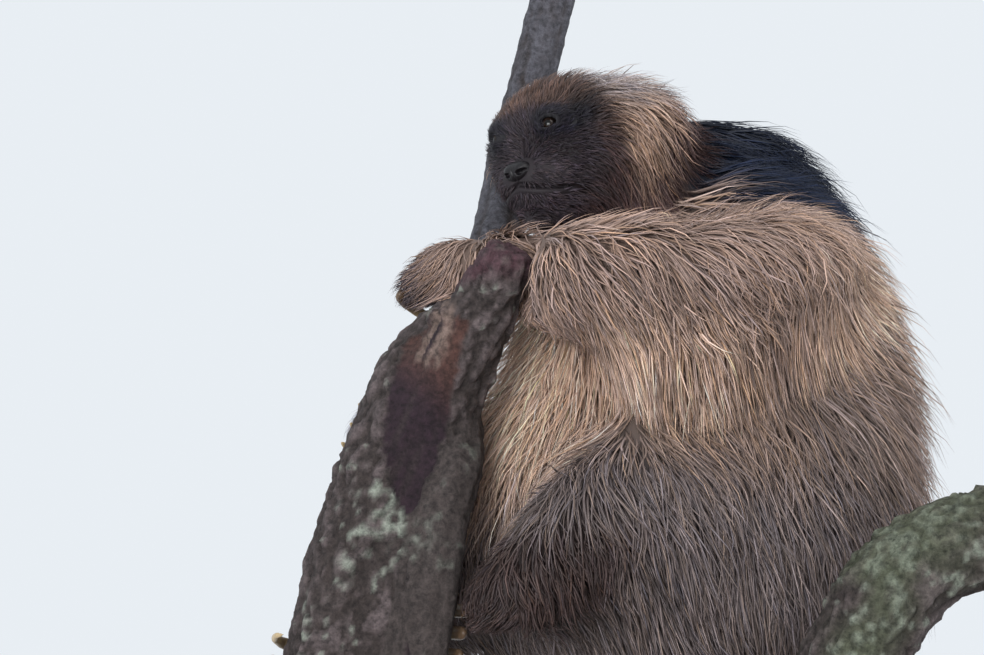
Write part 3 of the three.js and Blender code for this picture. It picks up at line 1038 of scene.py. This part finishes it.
def grow_locks(roots, normals, region, fields):
    """The middle lines of locks, from the skin out to the coat's outline."""
    count = len(roots)
    h = in_head(roots)
    face = (region == HEAD) * ramp(0.006, 0.044, h[:, 0])
    hood = (region == HEAD) * ramp(0.020, 0.0, h[:, 0]) * ramp(0.02, -0.01, h[:, 2])
    length, width = lock_sizes(roots, normals, region, face, hood)
    depth = np.maximum(-fields["coat"].at(roots), 0.001)
    reach = lock_reach(face)
    lean = 0.30 * clumps(roots, 0.012, 1) + 0.20 * clumps(roots, 0.045, 4)
    lean = lean + 0.16 * rng.normal(size=(count, 3))
    hang = np.maximum(ramp(0.05, -0.6, normals[:, 2]), 0.8 * hood) * (1 - face)
    down = np.array([0, 0, -1.0])
    droop = 0.7 * hang[:, None]
    heading = onto(flow_at(roots, region) + lean, normals) * (1 - droop) + down * droop
    curl = np.cross(heading, normals) * rng.normal(0, 0.16, (count, 1))
    phase = rng.uniform(0, 2 * np.pi, (count, 1))
    p = roots - normals * 0.001
    line = [p]
    for ring in range(1, RINGS + 1):
        t = ring / RINGS
        bend = curl * np.cos(phase + 3.0 * t)
        heading = unit(heading + bend + down * (0.10 + 0.6 * hang)[:, None])
        p = p + heading * (length / RINGS)[:, None]
        normal = unit(fields["coat"].slope(p))
        wanted = -depth * (1 - reach * (1 - (1 - t) ** 1.7))
        above = fields["coat"].at(p) - wanted
        settle = np.where(above > 0, 0.85 * (1 - 0.6 * hang), 0.6 * (1 - hang))
        p = clear_of_wood(p - normal * (above * settle)[:, None], fields)
        line.append(p)
        travelled = unit(p - line[-2])
        here = onto(flow_at(p, region) + lean, normal)
        heading = unit(0.55 * travelled + 0.45 * here)
    return np.stack(line, axis=1), width


def clear_of_wood(p, fields):
    """Places moved out of the perch, just clear of its bark."""
    inside = np.maximum(BARK_GAP - fields["wood"].at(p), 0)
    return p + unit(fields["wood"].slope(p)) * inside[:, None]


def clumps(p, cell, seed, parts=3):
    """Random numbers that change smoothly over cells of one size."""
    low = p.min(0) - cell
    shape = tuple(np.ceil((p.max(0) - low) / cell).astype(int) + 3)
    noise = np.random.default_rng(SEED + seed).normal(size=(parts, *shape))
    return np.stack([Field(low, n, cell).at(p) for n in noise], axis=-1)


def lock_faces(rings):
    """The triangles of a lock: its three sides, its tip and its root."""
    faces = []
    for ring in range(rings - 1):
        for k in range(3):
            a, b = ring * 3 + k, ring * 3 + (k + 1) % 3
            faces += [(a, b, b + 3), (a, b + 3, a + 3)]
    tip, last = rings * 3, (rings - 1) * 3
    faces += [(last + k, last + (k + 1) % 3, tip) for k in range(3)]
    return np.array([*faces, (2, 1, 0)])


def lock_mesh(line, width, normals, root_colour, tip_colour):
    """Tapered locks about their middle lines, and each point's share of the way to the tip."""
    count, rings = line.shape[0], line.shape[1] - 1
    heading = unit(np.gradient(line, axis=1))
    side = unit(np.cross(heading, normals[:, None]))
    up = np.cross(side, heading)
    t = np.arange(rings) / rings
    taper = (0.55 + 0.45 * np.sin(np.pi * np.minimum(t * 1.6, 1))) * (1 - t**2.2)
    taper[0] = 0.6
    w = width[:, None, None] * taper[None, :, None]
    body = line[:, :rings]
    side, up = side[:, :rings] * w, up[:, :rings] * w
    points = np.stack([body + side, body + up * 0.7, body - side], axis=2)
    points = np.concatenate([points.reshape(count, -1, 3), line[:, rings:]], axis=1)
    before = np.arange(count)[:, None, None] * points.shape[1]
    faces = (lock_faces(rings)[None] + before).reshape(-1, 3)
    share = np.append(np.repeat(t, 3), 1.0)
    colours = root_colour[:, None] * (1 - share[:, None]) + tip_colour[:, None] * share[:, None]
    return points.reshape(-1, 3), faces, colours.reshape(-1, 3), share


def unwrap(roots, region):
    """Longitude and latitude round the middle of each part of the body, which has a tile of the map."""
    parts = np.unique(region)
    tiles = math.ceil(math.sqrt(len(parts)))
    spot = np.empty((len(roots), 2))
    for i, part in enumerate(parts):
        chosen = region == part
        middle = np.mean(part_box(FLESH[part]), axis=0)
        away = unit(in_animal(roots[chosen]) - in_animal(middle))
        turn = np.stack([np.arctan2(away[:, 1], away[:, 0]), np.arcsin(away[:, 2])], axis=1)
        filled = (turn - turn.min(0)) / np.ptp(turn, axis=0)
        spot[chosen] = (filled * 0.97 + 0.01 + [i % tiles, i // tiles]) / tiles
    return spot


def coat_piece(name, chosen, grown, material):
    """A joined mesh of locks, each with its own tone and a darker root."""
    line, width, normals, roots, region = (g[chosen] for g in grown)
    colour = coat_colour(roots, region) * np.exp(0.16 * clumps(roots, 0.020, 7, 1))
    shade = np.exp(rng.normal(0, 0.22, (len(roots), 1)))
    draw = rng.random((len(roots), 1))
    # One lock in five is much paler than the rest, and one in seven much darker.
    tone = np.where(draw < 0.20, 1.6, np.where(draw > 0.85, 0.5, 1.0)) * shade
    streak = np.exp(0.45 * clumps(roots, 0.006, 8, 1))
    tone = np.where((region == HEAD)[:, None], tone * streak, tone)
    hue = 1 + rng.normal(0, 1, (len(roots), 1)) * np.array([0.05, 0.0, -0.09])
    tip = colour * tone * hue * TIP_SHADE
    long_haired = np.isin(kinds_of(region), ["torso", *LEG])
    # dark underfur at the root; on long hair the root is lightened with painted light
    root = colour * np.where(long_haired, LONG_ROOT_LIT, ROOT_SHADE)[:, None]
    points, faces, colours, share = lock_mesh(line, width, normals, root, tip)
    obj = mesh_from(name, points, faces, np.clip(colours, 0, 0.9))
    uv_map(obj, unwrap(roots, region), share)
    place(obj, material)


def uv_map(obj, spot, share):
    """Lays each lock as a small patch at its root's place on the map."""
    across = np.append(np.tile([0, 0.5, 1], RINGS), 0.5)
    patch = np.stack([across, share], axis=1) * PATCH_SIZE
    uv = (spot[:, None] + patch[None]).reshape(-1, 2)
    layer = obj.data.uv_layers.new(name="OFBake")
    loops = np.empty(len(obj.data.loops), np.int32)
    obj.data.loops.foreach_get("vertex_index", loops)
    layer.data.foreach_set("uv", uv[loops].astype(np.float32).ravel())


def may_grow(roots, fields):
    """Everywhere but inside the perch, on the nose pad, between the lids and in the mouth."""
    q = mirrored(in_head(roots))
    front = q[:, 0] > 0.030
    nose = nose_distance(q) > 0.0008
    around, ahead = eye_opening(q)
    eye = (around > 1.45) | (ahead < 0)
    over_mouth = q[:, 2] - mouth_height(q[:, 1])
    mouth = (over_mouth > 0.0012) | (over_mouth < -0.0024)
    return (fields["wood"].at(roots) > 0.001) & (~front | (nose & eye & mouth))


def coat_parts(names, a):
    """The name and slot of each piece of the coat, and which locks it holds."""
    body = np.flatnonzero(np.isin(names, ["torso", "neck", "tail"]))
    around = np.arctan2(a[:, 1], a[:, 0])[body]
    sectors = np.array_split(body[np.argsort(around)], math.ceil(len(body) / MOST_IN_PIECE))
    left = a[:, 1] > 0
    arm, head = np.isin(names, ARM), names == "head"
    return [
        *((f"coat_body_{i + 1}", "coat", sector) for i, sector in enumerate(sectors)),
        ("coat_arm_left", "coat", arm & left),
        ("coat_arm_right", "coat", arm & ~left),
        ("coat_legs", "coat", np.isin(names, LEG)),
        ("coat_hands_feet", "limb_coat", np.isin(names, ["hand", "foot"])),
        ("coat_head_left", "face_coat", head & left),
        ("coat_head_right", "face_coat", head & ~left),
        ("coat_mane", "mane", names == "mane"),
    ]


def build_coat(skin, fields):
    roots, normals, region = roots_on(skin, fields)
    keep = may_grow(roots, fields)
    roots, normals, region = roots[keep], normals[keep], region[keep]
    line, width = grow_locks(roots, normals, region, fields)
    grown = (line, width, normals, roots, region)
    fur, _, _ = tinted_material("coat_fur", 0.5)
    for name, slot, chosen in coat_parts(kinds_of(region), in_animal(roots)):
        coat_piece(name, chosen, grown, fur)


# ---- Stand ----
OAK_DARK, OAK_PALE = linear(104, 74, 50), linear(158, 122, 86)
STEEL = linear(178, 180, 184)


def oak_material():
    """Planed oak with its grain along the board."""
    material, tree, shader = principled("oak", Roughness=0.45)
    grain = object_texture(tree, "Noise", 9, (1.0, 14.0, 1.0), Detail=8.0, Roughness=0.65)
    tones = tree.nodes.new("ShaderNodeValToRGB")
    for stop, place_on, tone in zip(tones.color_ramp.elements, (0.32, 0.68), (OAK_DARK, OAK_PALE)):
        stop.position = place_on
        stop.color = rgba(tone)
    tree.links.new(grain.outputs["Fac"], tones.inputs["Fac"])
    tree.links.new(tones.outputs["Color"], shader.inputs["Base Color"])
    bumped(tree, shader, grain.outputs["Fac"], 0.0006, 0.5)
    return material


def steel_material():
    material, tree, shader = principled("drawn_steel", Base_Color=rgba(STEEL), Roughness=0.32, Metallic=1.0)
    scratches = object_texture(tree, "Noise", 500, (1.0, 1.0, 0.03), Detail=3.0)
    bumped(tree, shader, scratches.outputs["Fac"], 0.0002, 0.4)
    return material


def finish_stand():
    finishes = {"stand_base": oak_material(), "stand_rod": steel_material()}
    for name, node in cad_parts.items():
        for start, finish in finishes.items():
            if name.startswith(start):
                node.data.materials.clear()
                node.data.materials.append(finish)


# ---- Scene ----
SKY = (0.90, 0.95, 1.0, 1)
SKY_STRENGTH = 0.9
FLOOR_SIZE = 60
FLOOR_GREY = (0.86, 0.86, 0.86)
CAMERA_AT = (-0.082, -1.24964, 0.07167)
CAMERA_LENS = 85.6
CAMERA_RISE = 16  # degrees above level
# Where each light is, where it points, its size, its power and its colour.
LIGHTS = {
    "key": ((0.9, -1.6, 1.9), (0, 0, 0.4), 1.2, 15, (1.0, 0.98, 0.95)),
    "fill": ((-0.55, -1.6, 0.12), (0, 0, 0.36), 1.0, 34, (0.96, 0.98, 1.0)),
}


def set_world():
    world = bpy.data.worlds.new("studio")
    world.use_nodes = True
    background = world.node_tree.nodes["Background"]
    background.inputs["Color"].default_value = SKY
    background.inputs["Strength"].default_value = SKY_STRENGTH
    bpy.context.scene.world = world
    bpy.context.scene.view_settings.view_transform = "Standard"


def add_floor():
    bpy.ops.mesh.primitive_plane_add(size=FLOOR_SIZE)
    floor = bpy.context.object
    floor.name = "floor"
    paint, _, _ = principled("floor_paint", Base_Color=rgba(FLOOR_GREY), Roughness=0.9)
    floor.data.materials.append(paint)


def add_light(name, at, target, size, power, colour):
    data = bpy.data.lights.new(name, "AREA")
    data.size, data.energy, data.color = size, power, colour
    light = linked(name, data)
    light.location = at
    light.rotation_euler = (Vector(target) - Vector(at)).to_track_quat("-Z", "Y").to_euler()


def add_camera():
    data = bpy.data.cameras.new("camera")
    data.lens = CAMERA_LENS
    data.sensor_width = 36
    camera = linked("camera", data)
    camera.location = CAMERA_AT
    camera.rotation_euler = (math.radians(90 + CAMERA_RISE), 0, 0)
    bpy.context.scene.camera = camera


fields = body_fields()
skin = skin_object(fields)
place(skin, tinted_material("skin_hide", 0.7)[0], FLESH)
build_coat(skin, fields)
add_eyes()
add_nose()
add_claws()
add_perch()

finish_stand()

set_world()
add_floor()
for light, settings in LIGHTS.items():
    add_light(light, *settings)
add_camera()
